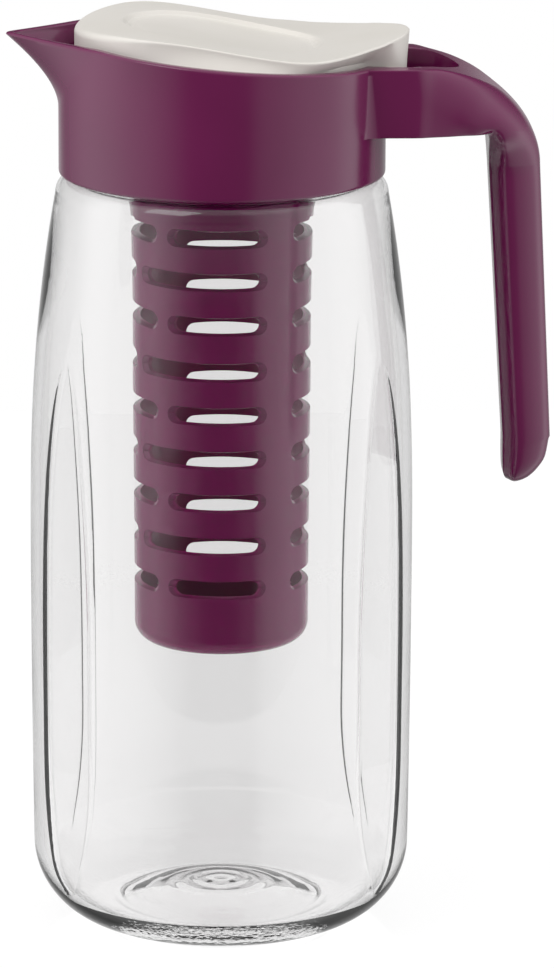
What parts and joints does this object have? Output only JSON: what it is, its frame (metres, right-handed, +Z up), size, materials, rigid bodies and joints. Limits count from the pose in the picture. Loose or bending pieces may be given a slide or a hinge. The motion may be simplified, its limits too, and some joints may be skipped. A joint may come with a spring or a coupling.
{
  "type": "fruit infuser jug",
  "caption": "Tall glass jug with a plastic pouring collar, side handle, rocking lid and a slotted infuser tube hanging inside.",
  "frame": {"origin": "centre of the whole object's footprint box, on the surface that the glass stands on", "axes": "+Z up, -X towards the pouring spout, +X towards the handle, +Y across"},
  "size_m": [0.1592, 0.112, 0.2681],
  "materials": {
    "clear_glass": "clear polished",
    "plum_plastic": "glossy moulded",
    "white_plastic": "satin moulded",
    "silicone": "matt translucent"
  },
  "bodies": {
    "glass": {"glass_body": "clear_glass"},
    "gasket": {"neck_gasket": "silicone"},
    "collar": {"spout_collar": "plum_plastic"},
    "infuser": {"infuser_basket": "plum_plastic"},
    "lid": {"lid": "white_plastic"}
  },
  "joints": [
    {"name": "collar_rise", "type": "slide", "parent": "glass", "child": "gasket", "axis": [0, 0, 1], "range_m": [0, 0.004]},
    {"name": "collar_turn", "type": "hinge", "parent": "gasket", "child": "collar", "pos_m": [-0.0164, 0, 0.24], "axis": [0, 0, 1], "range_deg": [0, 360]},
    {"name": "infuser_twist", "type": "hinge", "parent": "collar", "child": "infuser", "pos_m": [-0.0164, 0, 0.235], "axis": [0, 0, 1], "range_deg": [0, 60]},
    {"name": "lid_open", "type": "hinge", "parent": "collar", "child": "lid", "pos_m": [0.0306, 0, 0.25202], "axis": [0, 1, 0], "range_deg": [0, 55]}
  ],
  "couplings": [
    {"joint": "collar_rise", "follows": "collar_turn", "m_per_rad": 0.0006366}
  ]
}
